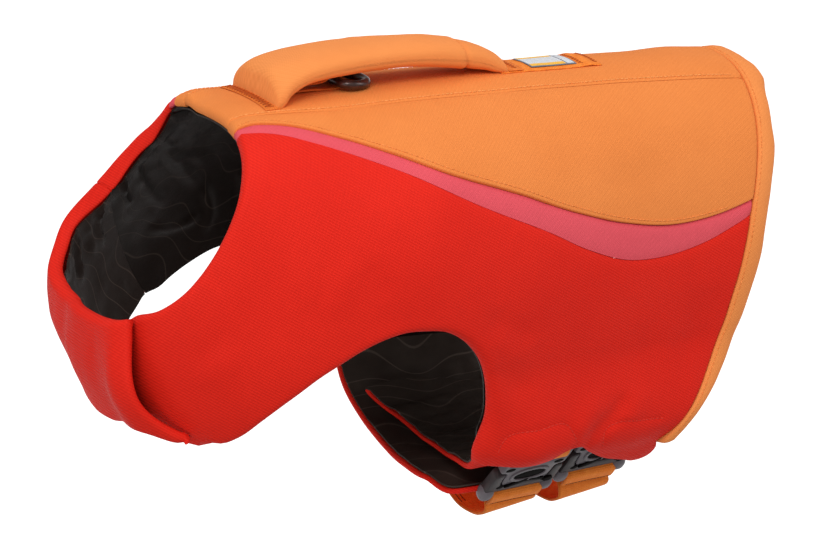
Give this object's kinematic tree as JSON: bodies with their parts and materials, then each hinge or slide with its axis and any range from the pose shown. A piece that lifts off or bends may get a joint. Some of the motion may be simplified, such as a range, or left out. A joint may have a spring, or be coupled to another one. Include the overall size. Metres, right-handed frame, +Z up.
{
  "type": "dog life jacket",
  "caption": "Padded dog life jacket with a top grab handle, leash ring, open neck, leg openings and belly straps with side-release buckles.",
  "frame": {"origin": "inner top of the back at mid length, where the wearer's back carries it", "axes": "+Z up, -X towards the wearer's head, -Y towards its left side, where the buckles are"},
  "size_m": [0.473, 0.2381, 0.3096],
  "materials": {
    "orange_cloth": "woven polyester over foam",
    "red_cloth": "twill weave over foam",
    "pink_cloth": "woven polyester",
    "black_lining": "smooth satin lining",
    "orange_webbing": "flat woven webbing",
    "label_cloth": "plain woven label",
    "dark_metal": "dark coated, satin",
    "grey_plastic": "moulded, satin"
  },
  "bodies": {
    "jacket": {"back_spine": "orange_cloth", "back_left": "orange_cloth", "back_right": "orange_cloth", "rear_trim": "orange_cloth", "handle": "orange_cloth", "stripe_left": "pink_cloth", "stripe_right": "pink_cloth", "side_left": "red_cloth", "side_right": "red_cloth", "chest_flap": "red_cloth", "belly_left": "red_cloth", "belly_right": "red_cloth", "lining_back": "black_lining", "lining_left": "black_lining", "lining_right": "black_lining", "lining_chest": "black_lining", "lining_belly_left": "black_lining", "lining_belly_right": "black_lining", "handle_tab_front": "orange_webbing", "handle_tab_rear": "orange_webbing", "ring_tab": "orange_webbing", "rear_strip": "orange_webbing", "strap_front": "orange_webbing", "strap_rear": "orange_webbing", "anchor_front": "orange_webbing", "anchor_rear": "orange_webbing", "label": "label_cloth", "buckle_front_male": "grey_plastic", "buckle_front_female": "grey_plastic", "buckle_rear_male": "grey_plastic", "buckle_rear_female": "grey_plastic"},
    "ring": {"leash_ring": "dark_metal"}
  },
  "joints": [
    {"name": "ring_hinge", "type": "hinge", "parent": "jacket", "child": "ring", "pos_m": [-0.099, 0, 0.0175], "axis": [0, -1, 0], "range_deg": [0, 10]}
  ]
}
